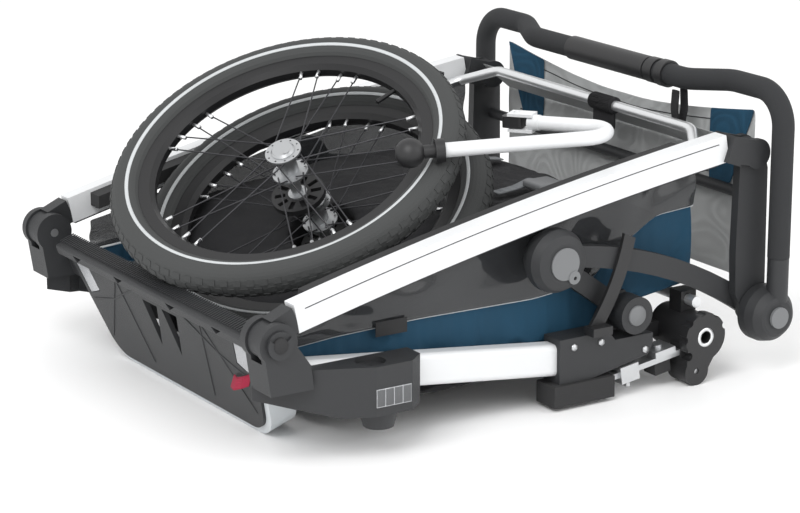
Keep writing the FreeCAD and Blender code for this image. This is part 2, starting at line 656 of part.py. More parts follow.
def gasket(side):
    strip = pillar_shape(-4, 14, side * GASKET_IN, side * (PILLAR_IN - REST_GAP))
    return strip.common(box((-320, -400, 0), (LUG[0] + 8, 400, 500)))


def side_window(side):
    return plate(WINDOW, side * GASKET_IN, side * (GASKET_IN + WINDOW_THICK)).cut(gasket(side))


def lug(side):
    """The flattened end of the roof tube, riveted to the pillar's inner face."""
    y0, y1 = span(side, LUG_Y - 3, PILLAR_IN)
    return box((LUG[0] - 26, y0, LUG[1] - 9), (LUG[0] + 4, y1, LUG[1] + 6)).cut(pillar(side))


save("gaskets", *[gasket(side) for _, side in SIDES])
save("side_windows", *[side_window(side) for _, side in SIDES])
cross_end = [(LUG[0], -LUG_Y, LUG[1]), (LUG[0] + 40, -LUG_Y, LUG[1] + 10),
             (CROSS_TUBE[0], -CROSS_TUBE_HALF, CROSS_TUBE[1])]
cross_path = cross_end + [(x, -y, z) for x, y, z in reversed(cross_end)]
cross = tube(cross_path, 28, CROSS_TUBE_RADIUS)
save("cross_tube", fuse([cross] + [lug(side) for _, side in SIDES]))

# ---------------------------------------------------------------- rear posts, header and handlebar


def post(side):
    (bx, bz), (hx, hz) = TOP_PIVOT, HANDLE_PIVOT
    outline = [(bx - 24, bz - 8), (bx + 18, bz + 2), (POST_BACK, bz - 24), (POST_BACK + 2, hz + 20),
               (hx + 8, hz - 20), (hx - 20, hz - 18), (hx - 44, hz + 30), (hx - 46, hz + 90)]
    body = plate(outline, side * POST_IN, side * POST_OUT)
    top = across(bx, bz, side * (PILLAR_IN + SIDE_GAP), side * POST_OUT, 19)
    low = across(hx, hz, side * POST_IN, side * POST_OUT, 26)
    body = fuse([body, top, low]).cut(across(bx, bz, side * 200, side * 400, BORE))
    pin = across(hx, hz, side * BAR_IN, side * (HUB_IN + 22), PIN_RADIUS)
    return body.fuse(pin)


header = across(*HEADER, -POST_IN, POST_IN, HEADER_RADIUS)
save("rear_posts", *[post(side) for _, side in SIDES], header)


def hub_shape(side):
    r, depth = HANDLE_HUB_RADIUS, HUB_DEPTH
    profile = [(0, 0), (r, 0), (r, 14), (r - 4, 28), (r - 12, depth - 2), (r - 16, depth), (0, depth)]
    dome = facing_out(turned(profile), HANDLE_PIVOT[0], HANDLE_PIVOT[1], HUB_IN, side)
    x, z = HANDLE_PIVOT
    y = side * HANDLE_HALF
    socket = rod((HANDLE_X, y, z + 20), (HANDLE_X, y, SOCKET_TOP), GRIP_RADIUS - 0.5)
    whole = fuse([dome, socket])
    whole = whole.cut(across(x, z, side * HUB_IN, side * (HUB_IN + 23), BORE))
    well = HUB_IN + HUB_DEPTH - BUTTON_DEPTH - 4
    whole = whole.cut(across(x, z, side * well, side * 400, BUTTON_RADIUS + RUNNING))
    return whole.cut(rod((HANDLE_X, y, LEG_LOW), (HANDLE_X, y, HANDLE_TOP), HANDLE_TUBE_RADIUS))


leg = [(HANDLE_X, -HANDLE_HALF, LEG_LOW), (HANDLE_X, -HANDLE_HALF, HANDLE_TOP),
       (HANDLE_X, -BEND_HALF, HANDLE_TOP), (MID_X, -MID_HALF, MID_Z)]
handle_path = leg + [(x, -y, z) for x, y, z in reversed(leg)]
grip_leg = [(x, y, max(z, SOCKET_TOP + 0.5)) for x, y, z in leg]
grip_path = grip_leg + [(x, -y, z) for x, y, z in reversed(grip_leg)]
handle_tube = tube(handle_path, HANDLE_BEND, HANDLE_TUBE_RADIUS)
grip = tube(grip_path, HANDLE_BEND, GRIP_RADIUS).cut(handle_tube)
save("handlebar_tube", handle_tube)
save("handlebar_grip", *grip.Solids)


def sleeve(y0, y1, proud):
    ring = across(MID_X, MID_Z, y0, y1, GRIP_RADIUS + proud)
    return soften(ring.cut(across(MID_X, MID_Z, y0 - 1, y1 + 1, GRIP_RADIUS)), 1)


save("handle_console", *[sleeve(*sizes) for sizes in SLEEVES])
save("handle_hubs", *[hub_shape(side) for _, side in SIDES])
strap_top = MID_Z - GRIP_RADIUS - REST_GAP
save("wrist_strap", box((MID_X - 1.5, WRIST_Y[0], MID_Z - WRIST_DROP), (MID_X + 1.5, WRIST_Y[1], strap_top)))
for name, side in SIDES:
    y_in, y_out = HUB_IN + HUB_DEPTH - BUTTON_DEPTH, HUB_IN + HUB_DEPTH + BUTTON_PROUD
    save(name + "_handle_button", across(*HANDLE_PIVOT, side * y_in, side * y_out, BUTTON_RADIUS))

# ---------------------------------------------------------------- upper bars with the folding hubs


def upper_bar(side):
    bar = plate(bar_outline(FOLD_PIVOT, HANDLE_PIVOT, BAR_HALF, BAR_BOW, 12), side * BAR_IN, side * BAR_OUT)
    ends = [across(*p, side * BAR_IN, side * BAR_OUT, r) for p, r in ((FOLD_PIVOT, 34), (HANDLE_PIVOT, 20))]
    body = fuse([bar, *ends]).cut(across(*HANDLE_PIVOT, side * 200, side * 400, BORE))
    if side < 0:
        body = body.cut(across(*HOOK_PIVOT, -BAR_IN - 3, -400, HOOK_STUD + RUNNING))
    return body


def fold_hub(side):
    r, depth = FOLD_HUB_RADIUS, FOLD_HUB_DEPTH
    profile = [(0, 0), (r - 3, 0), (r, 3), (r, 16), (r - 6, depth - 5), (r - 16, depth), (0, depth)]
    dome = facing_out(turned(profile), *FOLD_PIVOT, BAR_OUT, side)
    return dome.cut(across(*FOLD_PIVOT, side * (BAR_OUT + LOCK_SEAT), side * 400, LOCK_RADIUS + RUNNING))


def lock_disc(side):
    x, z = FOLD_PIVOT
    face = BAR_OUT + FOLD_HUB_DEPTH
    disc = across(x, z, side * (BAR_OUT + LOCK_SEAT + REST_GAP), side * (face + 2), LOCK_RADIUS)
    tab = across(x + 14, z - 20, side * (face + 0.6), side * (face + 3), 9)
    return fuse([disc, tab]).cut(across(x + 15, z - 21, side * 300, side * 400, 2.6))


def fold_hook():
    near, far = -BAR_OUT - 0.6, -BAR_OUT - 6
    x, z = HOOK_END
    arm = plate(bar_outline(HOOK_TOP, HOOK_END, 10, 7, 8), near, far)
    stud = across(*HOOK_PIVOT, -BAR_IN - 4, far, HOOK_STUD)
    pad = box((x - 16, -BAR_OUT - 22, z - 7.7), (x + 16, near, z + 4))
    return fuse([arm, stud, pad])


save("upper_bars", *[upper_bar(side) for _, side in SIDES])
save("fold_hubs", *[fold_hub(side) for _, side in SIDES])
save("lock_discs", *[lock_disc(side) for _, side in SIDES])
save("fold_hook", fold_hook())


# ---------------------------------------------------------------- wheels
def placed(shape, centre):
    """Carry a shape built about +Z at the origin to a stowed wheel's centre and tilt."""
    moved = shape.copy()
    moved.Placement = FreeCAD.Placement(centre, FreeCAD.Rotation(V(0, 0, 1), WHEEL_NORMAL))
    return moved


def polar(radius, angle, height):
    return V(radius * math.cos(angle), radius * math.sin(angle), height)


def tyre():
    middle, half = WHEEL_RADIUS - TYRE_WIDTH / 2, TYRE_WIDTH / 2
    points = []
    for k in range(-11, 12):
        angle = math.radians(k * 12)
        points.append((middle + half * math.cos(angle), half * math.sin(angle)))
    bead, seat = RIM_OUTER + RIM_LIP + REST_GAP, RIM_OUTER + 0.1
    edge = RIM_WIDTH / 2
    well = edge - RIM_WALL - 0.2
    points += [(bead, edge), (bead, well), (seat, well), (seat, -well), (bead, -well), (bead, -edge)]
    return turned(points)


def rim():
    half = RIM_WIDTH / 2
    lip, well = RIM_OUTER + RIM_LIP, half - RIM_WALL
    profile = [(RIM_INNER, -5), (RIM_INNER + 6, 1 - half), (lip, -half), (lip, -well), (RIM_OUTER, -well),
               (RIM_OUTER, well), (lip, well), (lip, half), (RIM_INNER + 6, half - 1), (RIM_INNER, 5)]
    return turned(profile)


def valve():
    return rod((RIM_INNER - REST_GAP, 0, 0), (RIM_INNER - 30, 0, 0), VALVE_RADIUS)


def hub():
    """Flanged barrel with a narrow tail, bored for the axle and let in at the top for its cap."""
    top, end = FLANGE_SPREAD, -RATCHET_DROP
    bore, seat, cup, foot = AXLE_RADIUS + RUNNING, CAP_RADIUS + RUNNING, CAP_RADIUS + 2.5, TAIL_RADIUS + 5.6
    profile = [(bore, top - CAP_SEAT), (seat, top - CAP_SEAT), (seat, top), (FLANGE_RADIUS, top),
               (FLANGE_RADIUS, top - FLANGE_THICK), (cup, top - FLANGE_THICK), (cup, top - CAP_SEAT - 3),
               (BARREL_RADIUS, top - CAP_SEAT - 4),
               (BARREL_RADIUS, FLANGE_THICK + 1 - top), (FLANGE_RADIUS, FLANGE_THICK - top),
               (FLANGE_RADIUS, -top), (BARREL_RADIUS, -top - 3), (TAIL_RADIUS, -top - 6),
               (TAIL_RADIUS, end + 2), (foot, end + 2),
               (foot, end), (bore, end)]
    body = turned(profile)
    for k in range(2 * SPOKES_PER_FLANGE):
        level = top if k % 2 else -top
        angle = math.pi * (k + 0.5) / SPOKES_PER_FLANGE
        body = body.cut(Part.makeCylinder(SPOKE_HOLE, 8, polar(SPOKE_HOLE_CIRCLE, angle, level - 4)))
    return body


RELEASE_WELL = FLANGE_SPREAD + CAP_HEIGHT - RELEASE_TRAVEL - RELEASE_LENGTH + 1


def axle():
    top = FLANGE_SPREAD
    low = -RATCHET_DROP - RATCHET_THICK - SPIGOT_LENGTH
    seat = top - CAP_SEAT + REST_GAP
    cap = turned([(0, seat), (CAP_RADIUS, seat), (CAP_RADIUS, top + 1), (CAP_RADIUS - 3, top + CAP_HEIGHT),
                  (0, top + CAP_HEIGHT)])
    body = fuse([Part.makeCylinder(AXLE_RADIUS, top - CAP_SEAT + 1 - low, V(0, 0, low)), cap])
    return body.cut(Part.makeCylinder(RELEASE_RADIUS + RUNNING, 20, V(*RELEASE_AT, RELEASE_WELL)))


def release_button():
    foot = V(*RELEASE_AT, RELEASE_WELL + RELEASE_TRAVEL + REST_GAP)
    return Part.makeCylinder(RELEASE_RADIUS, RELEASE_LENGTH, foot)


def ratchet():
    top, bottom, bore = -RATCHET_DROP, -RATCHET_DROP - RATCHET_THICK, AXLE_RADIUS + RUNNING
    body = turned([(bore, top), (RATCHET_RADIUS, top), (RATCHET_RADIUS, bottom), (bore, bottom)])
    for k in range(RATCHET_POCKETS):
        pocket = box((18, -3.5, bottom + 2), (RATCHET_RADIUS - 5, 3.5, top + 1))
        pocket.rotate(V(0, 0, 0), V(0, 0, 1), 360 / RATCHET_POCKETS * k)
        body = body.cut(pocket)
    return body


def spokes():
    """Ten spokes to each flange, leaning both ways round, each with its nipple at the rim."""
    solids = []
    swing = math.radians(50)
    for k in range(2 * SPOKES_PER_FLANGE):
        flange = 1 if k % 2 else -1
        leading = 1 if (k // 2) % 2 else -1
        hole_angle = math.pi * (k + 0.5) / SPOKES_PER_FLANGE
        rim_angle = hole_angle + leading * swing
        level = FLANGE_SPREAD - FLANGE_THICK - SPOKE_RADIUS - 0.1 - (3.2 if leading > 0 else 0)
        reach = RIM_INNER - 0.8
        start = polar(SPOKE_HOLE_CIRCLE, hole_angle, flange * level)
        end = polar(reach, rim_angle, flange * 2.5)
        way = (end - start).normalize()
        knee = end - way * NIPPLE_LENGTH
        solids.append(Part.makeCylinder(SPOKE_RADIUS, (knee - start).Length, start, way))
        solids.append(Part.makeCylinder(NIPPLE_RADIUS, NIPPLE_LENGTH, knee, way))
    return solids


normal = V(WHEEL_NORMAL).normalize()
downhill = V(0, 1, 0).cross(normal).normalize()
sideways = normal.cross(downhill)
spacing = RATCHET_DROP + RATCHET_THICK + SPIGOT_LENGTH + FLANGE_SPREAD + CAP_HEIGHT + REST_GAP
LOWER_WHEEL = UPPER_WHEEL - normal * spacing + downhill * LOWER_SHIFT[0] + sideways * LOWER_SHIFT[1]
for name, centre in (("upper", UPPER_WHEEL), ("lower", LOWER_WHEEL)):
    save(name + "_tyre", placed(tyre(), centre))
    save(name + "_rim", placed(rim(), centre), placed(valve(), centre))
    save(name + "_spokes", *[placed(s, centre) for s in spokes()])
    save(name + "_hub", placed(hub(), centre))
    save(name + "_ratchet", placed(ratchet(), centre))
    save(name + "_axle", placed(axle(), centre))
    save(name + "_release_button", placed(release_button(), centre))
    print(name, "wheel centre", centre + CENTRING)

# ---------------------------------------------------------------- soft goods, as plain closed solids
under = placed(box((-600, -600, -TYRE_WIDTH / 2 - REST_GAP), (600, 600, 900)), LOWER_WHEEL)
floor_half = RAIL_Y - RAIL_WIDTH / 2 - REST_GAP
floor_pan = box((SEAT_FRONT, -floor_half, FLOOR_LOW), (FLOOR_REAR, floor_half, FLOOR_HIGH))
bundle_side = [(SEAT_FRONT, FLOOR_HIGH), (172, FLOOR_HIGH), (172, 84), (250, 100), (262, 150), (330, 170),
               (330, 205), (250, HARNESS_Z), (20, HARNESS_Z), (SEAT_FRONT, 200)]
bundle = plate(bundle_side, -SEAT_HALF, SEAT_HALF)
hub_room = placed(Part.makeCylinder(RATCHET_RADIUS + 6, 300, V(0, 0, -RATCHET_DROP - 30)), LOWER_WHEEL)
save("folded_seat", bundle.fuse(floor_pan).cut(under).cut(hub_room))

skirt_side = [(-340, 92), (-300, 176), (-60, 180), (150, 150), (226, 158), (320, 158), (320, 128), (170, 128),
              (160, 92), (40, 92)]
skirt_out = CHEEK_IN - REST_GAP
skirts = [plate(skirt_side, side * (skirt_out - SKIRT_THICK), side * skirt_out) for _, side in SIDES]
save("side_skirts", *skirts)


def harness_belt(y):
    return box((112, y - 19, HARNESS_Z + REST_GAP), (240, y + 19, HARNESS_Z + 3))


def harness_buckle(y):
    return box((150, y - 24, HARNESS_Z + 3 + REST_GAP), (196, y + 24, HARNESS_Z + 16))


save("harness", *[make(side * HARNESS_Y) for make in (harness_belt, harness_buckle) for _, side in SIDES])
roof_x, roof_z = CROSS_TUBE
roof_side = [(roof_x + 9, roof_z + 2), (roof_x + 9, roof_z - 4), (POST_BACK - 6, roof_z - 44),
             (POST_BACK, roof_z - 40)]
save("roof_panel", plate(roof_side, REST_GAP - FORK_IN, FORK_IN - REST_GAP))
wall_front = HEADER[0] + HEADER_RADIUS + REST_GAP
save("rear_wall", box((wall_front, -298, 120), (wall_front + 4 - REST_GAP, 298, HEADER[1] + 24)))

# ---------------------------------------------------------------- hitch arm, stowed over the wheels
way = (BEND - BALL).normalize()
back = (CLEVIS - BEND).normalize()
CLEVIS_TURN = FreeCAD.Rotation(V(0, 1, 0), V(0, 0, 1), back, "ZXY")


def clevis_frame(shape):
    """Carry a shape built along +Z to the hitch arm's end, pointing on past it."""
    moved = shape.copy()
    moved.Placement = FreeCAD.Placement(CLEVIS, CLEVIS_TURN)
    return moved


def clevis():
    """Collar, two ears and the latch's pin."""
    pieces = [Part.makeCylinder(HITCH_RADIUS + 1, 16, V(0, 0, -2))]
    for _, side in SIDES:
        y0, y1 = span(side, EAR_GAP, EAR_GAP + EAR_THICK)
        pieces.append(box((-11, y0, 6), (11, y1, LATCH_PIVOT + 10)))
    reach = EAR_GAP + EAR_THICK + 2
    pieces.append(rod((0, -reach, LATCH_PIVOT), (0, reach, LATCH_PIVOT), LATCH_PIN))
    return clevis_frame(fuse(pieces))




def hitch_ball():
    """The coupling ball with its neck and the black boot at the arm's end, turned as one piece."""
    steps = 18
    reach = math.pi / 2 + math.acos(NECK_RADIUS / BALL_RADIUS)
    profile = []
    for k in range(steps + 1):
        angle = reach * k / steps - math.pi / 2
        profile.append((BALL_RADIUS * math.cos(angle), BALL_RADIUS * math.sin(angle)))
    profile += [(NECK_RADIUS, BOOT_FOOT), (BOOT_RADIUS, BOOT_FOOT), (BOOT_RADIUS, ARM_FOOT - REST_GAP),
                (0, ARM_FOOT - REST_GAP)]
    body = turned(profile)
    body.Placement = FreeCAD.Placement(BALL, FreeCAD.Rotation(V(0, 0, 1), way))
    return body


save("hitch_ball", hitch_ball())
arm = tube([tuple(BALL + way * ARM_FOOT), tuple(BEND), tuple(CLEVIS)], 34, HITCH_RADIUS)
save("hitch_arm", fuse([arm, clevis()]))
latch = soften(box((-9, 1 - EAR_GAP, LATCH_PIVOT - 10), (9, EAR_GAP - 1, LATCH_PIVOT + 20)), 5, (0, 1, 0))
latch = latch.cut(rod((0, -20, LATCH_PIVOT), (0, 20, LATCH_PIVOT), LATCH_PIN + RUNNING))
save("hitch_latch", clevis_frame(latch))
print("latch pivot", CLEVIS + back * LATCH_PIVOT + CENTRING, "axis", CLEVIS_TURN.multVec(V(0, 1, 0)))
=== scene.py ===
# %% [markdown]
# # Two-seat child bicycle trailer, folded flat
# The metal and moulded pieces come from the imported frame. This script dresses them: grained
# materials, a soft studio, the cloth body, straps, piping, reflective rings and fasteners.
# Lengths are in metres; +X is the trailer's rear, -Y its left side, +Z is up. The places written
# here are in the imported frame, which the CAD source has already centred.

import json
import math

import bmesh
import bpy
from mathutils import Matrix, Vector, noise


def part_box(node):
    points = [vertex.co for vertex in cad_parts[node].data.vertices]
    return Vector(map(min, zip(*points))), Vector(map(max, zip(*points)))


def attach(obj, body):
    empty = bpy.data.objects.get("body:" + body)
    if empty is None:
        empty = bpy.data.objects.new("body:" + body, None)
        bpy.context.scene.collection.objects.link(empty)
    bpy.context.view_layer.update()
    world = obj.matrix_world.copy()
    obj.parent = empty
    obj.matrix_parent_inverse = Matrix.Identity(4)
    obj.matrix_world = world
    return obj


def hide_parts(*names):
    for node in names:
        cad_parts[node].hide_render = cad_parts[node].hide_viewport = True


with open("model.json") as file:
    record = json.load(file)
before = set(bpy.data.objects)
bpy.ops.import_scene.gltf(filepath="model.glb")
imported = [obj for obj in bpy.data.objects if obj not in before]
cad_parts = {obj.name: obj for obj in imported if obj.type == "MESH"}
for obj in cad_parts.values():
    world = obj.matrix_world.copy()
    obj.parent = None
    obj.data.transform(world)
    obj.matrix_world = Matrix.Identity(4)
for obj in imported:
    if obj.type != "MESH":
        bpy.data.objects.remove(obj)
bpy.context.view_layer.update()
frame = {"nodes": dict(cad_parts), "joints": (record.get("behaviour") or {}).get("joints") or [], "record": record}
NODES = frame["nodes"]
WHEEL_NORMAL = Vector((-0.439, -0.244, 0.865)).normalized()
JOINTS = {joint["name"]: joint for joint in frame["joints"]}
WHEELS = {which: Vector(JOINTS[which + "_wheel_spin"]["pos_m"]) for which in ("upper", "lower")}
SIDES = (("left", -1), ("right", 1))

# %% [markdown]
# ## Camera, floor and light
# A long lens looks from the trailer's front left, a little from above.

# %% Camera
CAMERA_RIGHT = Vector((0.84209, -0.53933, 0.0))
CAMERA_UP = Vector((0.14462, 0.22580, 0.96338))
CAMERA_BACK = Vector((-0.51958, -0.81125, 0.26814))
CAMERA_AT = Vector((-1.98196, -3.09480, 1.16899))
SENSOR_WIDTH, FOCAL_LENGTH = 36, 121.5     # both in millimetres
camera = bpy.data.objects.new("camera", bpy.data.cameras.new("camera"))
bpy.context.scene.collection.objects.link(camera)
turn = Matrix((CAMERA_RIGHT, CAMERA_UP, CAMERA_BACK)).transposed()
camera.matrix_world = Matrix.Translation(CAMERA_AT) @ turn.to_4x4()
camera.data.sensor_width = SENSOR_WIDTH
camera.data.lens = FOCAL_LENGTH
bpy.context.scene.camera = camera


# %% Floor and lamps
def new_object(name, bm, material, smooth=True):
    mesh = bpy.data.meshes.new(name)
    bmesh.ops.recalc_face_normals(bm, faces=bm.faces)
    bm.to_mesh(mesh)
    bm.free()
    mesh.materials.append(material)
    for polygon in mesh.polygons:
        polygon.use_smooth = smooth
    obj = bpy.data.objects.new(name, mesh)
    bpy.context.scene.collection.objects.link(obj)
    return obj


def plain(name, colour, roughness):
    material = bpy.data.materials.new(name)
    material.use_nodes = True
    shader = material.node_tree.nodes["Principled BSDF"]
    shader.inputs["Base Color"].default_value = (*colour, 1)
    shader.inputs["Roughness"].default_value = roughness
    return material


bm = bmesh.new()
bmesh.ops.create_grid(bm, x_segments=1, y_segments=1, size=30)
floor = new_object("floor", bm, plain("floor_white", (0.97, 0.97, 0.97), 0.6))
world = bpy.data.worlds.new("studio")
world.use_nodes = True
world.node_tree.nodes["Background"].inputs["Color"].default_value = (1, 1, 1, 1)
world.node_tree.nodes["Background"].inputs["Strength"].default_value = 1.0
bpy.context.scene.world = world
bpy.context.scene.view_settings.view_transform = "Standard"
LAMPS = (("key", (-2.2, -1.6, 2.8), 2.0, 70), ("fill", (1.8, -2.6, 1.8), 2.5, 22))
for name, place, size, power in LAMPS:
    lamp = bpy.data.objects.new(name, bpy.data.lights.new(name, "AREA"))
    lamp.data.size, lamp.data.energy = size, power
    lamp.location = place
    lamp.rotation_euler = (-Vector(place)).to_track_quat("-Z", "Y").to_euler()
    bpy.context.scene.collection.objects.link(lamp)

# %% [markdown]
# ## Materials
# Each material is a Principled shader fed by one shared group of surface effects.


# %% Surface group
def surface_group():
    """Scale, mottle and weave in; a factor for colour and roughness, and a bump height, out."""
    tree = bpy.data.node_groups.new("fine_surface", "ShaderNodeTree")
    for name, value in (("Scale", 900.0), ("Mottle", 0.1), ("Weave", 0.0)):
        socket = tree.interface.new_socket(name, in_out="INPUT", socket_type="NodeSocketFloat")
        socket.default_value = value
    for name in ("Factor", "Height"):
        tree.interface.new_socket(name, in_out="OUTPUT", socket_type="NodeSocketFloat")
    nodes, links = tree.nodes, tree.links
    inputs, outputs = nodes.new("NodeGroupInput"), nodes.new("NodeGroupOutput")
    coords = nodes.new("ShaderNodeTexCoord")
    fine, broad = nodes.new("ShaderNodeTexNoise"), nodes.new("ShaderNodeTexNoise")
    broad.inputs["Scale"].default_value = 9
    broad.inputs["Detail"].default_value = 6
    warp, weft = nodes.new("ShaderNodeTexWave"), nodes.new("ShaderNodeTexWave")
    weft.bands_direction = "Z"
    for texture in (fine, warp, weft):
        links.new(inputs.outputs["Scale"], texture.inputs["Scale"])
    for texture in (fine, broad, warp, weft):
        links.new(coords.outputs["Object"], texture.inputs["Vector"])

    def math_node(operation, first, second):
        node = nodes.new("ShaderNodeMath")
        node.operation = operation
        for k, value in enumerate((first, second)):
            if hasattr(value, "links"):
                links.new(value, node.inputs[k])
            else:
                node.inputs[k].default_value = value
        return node.outputs[0]

    threads = math_node("MULTIPLY", warp.outputs["Fac"], weft.outputs["Fac"])
    woven = math_node("MULTIPLY", threads, inputs.outputs["Weave"])
    links.new(math_node("ADD", fine.outputs["Fac"], woven), outputs.inputs["Height"])
    centred = math_node("SUBTRACT", broad.outputs["Fac"], 0.5)
    swing = math_node("MULTIPLY", centred, inputs.outputs["Mottle"])
    links.new(math_node("ADD", math_node("MULTIPLY", swing, 2.0), 1.0), outputs.inputs["Factor"])
    return tree


SURFACE = surface_group()


def finish_material(name, colour, roughness, metal=0.0, scale=900, mottle=0.12, weave=0.0,
                    depth=0.15, alpha=1.0):
    material = plain(name, colour, roughness)
    nodes, links = material.node_tree.nodes, material.node_tree.links
    shader = nodes["Principled BSDF"]
    shader.inputs["Metallic"].default_value = metal
    shader.inputs["Alpha"].default_value = alpha
    group = nodes.new("ShaderNodeGroup")
    group.node_tree = SURFACE
    for socket, value in (("Scale", scale), ("Mottle", mottle), ("Weave", weave)):
        group.inputs[socket].default_value = value
    tint = nodes.new("ShaderNodeVectorMath")
    tint.operation = "SCALE"
    tint.inputs[0].default_value = colour
    links.new(group.outputs["Factor"], tint.inputs["Scale"])
    links.new(tint.outputs[0], shader.inputs["Base Color"])
    wear = nodes.new("ShaderNodeMath")
    wear.operation = "MULTIPLY"
    wear.inputs[1].default_value = roughness
    links.new(group.outputs["Factor"], wear.inputs[0])
    links.new(wear.outputs[0], shader.inputs["Roughness"])
    bump = nodes.new("ShaderNodeBump")
    bump.inputs["Strength"].default_value = depth
    bump.inputs["Distance"].default_value = 0.001
    links.new(group.outputs["Height"], bump.inputs["Height"])
    links.new(bump.outputs["Normal"], shader.inputs["Normal"])
    return material


# %% Finishes, one for each material slot of the record
FINISHES = {
    "moulding": dict(colour=(0.022, 0.023, 0.025), roughness=0.55, scale=1400, depth=0.35),
    "black_moulding": dict(colour=(0.016, 0.016, 0.017), roughness=0.45, scale=1100, depth=0.2),
    "beam": dict(colour=(0.72, 0.73, 0.74), roughness=0.34, mottle=0.03, depth=0.05),
    "bumper": dict(colour=(0.60, 0.63, 0.65), roughness=0.38, mottle=0.04, depth=0.08),
    "reflector": dict(colour=(0.62, 0.63, 0.65), roughness=0.25, metal=0.4, scale=420, weave=2.0,
                      depth=0.6),
    "red_webbing": dict(colour=(0.34, 0.012, 0.045), roughness=0.85, scale=300, weave=1.5, depth=0.6),
    "black_webbing": dict(colour=(0.015, 0.015, 0.017), roughness=0.85, scale=300, weave=1.5, depth=0.6),
    "harness_webbing": dict(colour=(0.20, 0.21, 0.22), roughness=0.8, scale=300, weave=1.5, depth=0.6),
    "steel": dict(colour=(0.60, 0.61, 0.62), roughness=0.35, metal=0.9, depth=0.1),
    "rubber": dict(colour=(0.022, 0.022, 0.023), roughness=0.8, scale=700, depth=0.3),
    "silver_tube": dict(colour=(0.78, 0.79, 0.80), roughness=0.3, metal=0.8, mottle=0.05, depth=0.04),
    "seat_fabric": dict(colour=(0.018, 0.018, 0.020), roughness=0.9, scale=420, weave=1.6, mottle=0.3,
                        depth=0.6),
    "side_fabric": dict(colour=(0.006, 0.058, 0.112), roughness=0.75, scale=420, weave=1.4, mottle=0.2,
                        depth=0.5),
    "grey_fabric": dict(colour=(0.47, 0.48, 0.48), roughness=0.8, scale=420, weave=1.2, mottle=0.1,
                        depth=0.5),
    "hub_metal": dict(colour=(0.50, 0.51, 0.52), roughness=0.32, metal=0.85, mottle=0.08, depth=0.05),
    "window_film": dict(colour=(0.045, 0.047, 0.05), roughness=0.08, mottle=0.15, depth=0.02, alpha=0.8),
    "foam": dict(colour=(0.024, 0.025, 0.027), roughness=0.9, scale=1500, depth=0.6),
    "grey_button": dict(colour=(0.16, 0.165, 0.17), roughness=0.5, scale=1200, depth=0.2),
    "tyre": dict(colour=(0.045, 0.047, 0.047), roughness=0.8, scale=600, depth=0.4),
    "rim": dict(colour=(0.014, 0.014, 0.015), roughness=0.35, metal=0.2, depth=0.05),
    "spoke_steel": dict(colour=(0.05, 0.05, 0.055), roughness=0.35, metal=0.6, depth=0.02),
    "strip": dict(colour=(0.12, 0.125, 0.13), roughness=0.3, scale=420, weave=2.0, depth=0.6),
    "piping": dict(colour=(0.55, 0.57, 0.58), roughness=0.6, scale=500, weave=1.0, depth=0.4),
}
MATERIALS = {name: finish_material(name, **values) for name, values in FINISHES.items()}
SLOTS = {part["node"]: part["material_slot"] for part in frame["record"]["subparts"]}
for node, obj in NODES.items():
    obj.data.materials.clear()
    obj.data.materials.append(MATERIALS[SLOTS[node]])
print(len(MATERIALS), "finishes on", len(NODES), "nodes")


# %% Piece helpers
def dress(obj, body, slot, *replaced):
    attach(obj, body)
    if replaced:
        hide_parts(*replaced)
    return obj


def surface(name, columns, rows, place, slot):
    """A grid sheet whose point (u, v), each from 0 to 1, is put where place says."""
    bm = bmesh.new()
    bmesh.ops.create_grid(bm, x_segments=columns, y_segments=rows, size=0.5)
    for vert in bm.verts:
        vert.co = place(vert.co.x + 0.5, vert.co.y + 0.5)
    return new_object(name, bm, MATERIALS[slot])


def thicken(obj, thickness, levels=1):
    solid = obj.modifiers.new("thickness", "SOLIDIFY")
    solid.thickness = thickness
    solid.offset = 0
    if levels:
        obj.modifiers.new("smooth", "SUBSURF").levels = levels
    return obj


def along(points, t):
    """The point at share t along a polyline, where each leg takes an equal share."""
    spot = t * (len(points) - 1)
    k = min(int(spot), len(points) - 2)
    return Vector(points[k]).lerp(Vector(points[k + 1]), spot - k)


def ribbon(name, points, across, width, slot, thickness=0.0016, steps=40):
    """A webbing strap of set width that follows a smooth path, flat along the across direction."""
    half = Vector(across).normalized() * width / 2

    def place(u, v):
        return along(points, u) + half * (2 * v - 1)

    obj = surface(name, steps, 4, place, slot)
    obj.modifiers.new("round", "SMOOTH").iterations = 6
    return thicken(obj, thickness, 0)


def cable(name, points, radius, slot):
    """A thin round bead, such as piping, along a smooth path."""
    curve = bpy.data.curves.new(name, "CURVE")
    curve.dimensions = "3D"
    curve.bevel_depth = radius
    spline = curve.splines.new("POLY")
    spline.points.add(len(points) - 1)
    for spot, point in zip(spline.points, points):
        spot.co = (*point, 1)
    curve.materials.append(MATERIALS[slot])
    obj = bpy.data.objects.new(name, curve)
    bpy.context.scene.collection.objects.link(obj)
    return obj


def settle(obj, pinned, slack, frames=30):
    """Let a pinned cloth with some slack hang under its own weight, and keep the result."""
    group = obj.vertex_groups.new(name="pinned")
    group.add([v.index for v in obj.data.vertices if pinned(v.co)], 1, "REPLACE")
    settings = obj.modifiers.new("cloth", "CLOTH").settings
    settings.vertex_group_mass = group.name
    settings.shrink_min = -slack
    settings.quality = 6
    scene = bpy.context.scene
    for step in range(1, frames + 1):
        scene.frame_set(step)
    depsgraph = bpy.context.evaluated_depsgraph_get()
    settled = bpy.data.meshes.new_from_object(obj.evaluated_get(depsgraph))
    obj.modifiers.clear()
    obj.data = settled
    scene.frame_set(1)
    return obj


def flat_area(obj):
    return sum(polygon.area for polygon in obj.data.polygons)


# %% [markdown]
# ## Wheels
# A reflective ring on each sidewall, moulded tread lines and bright nipples.

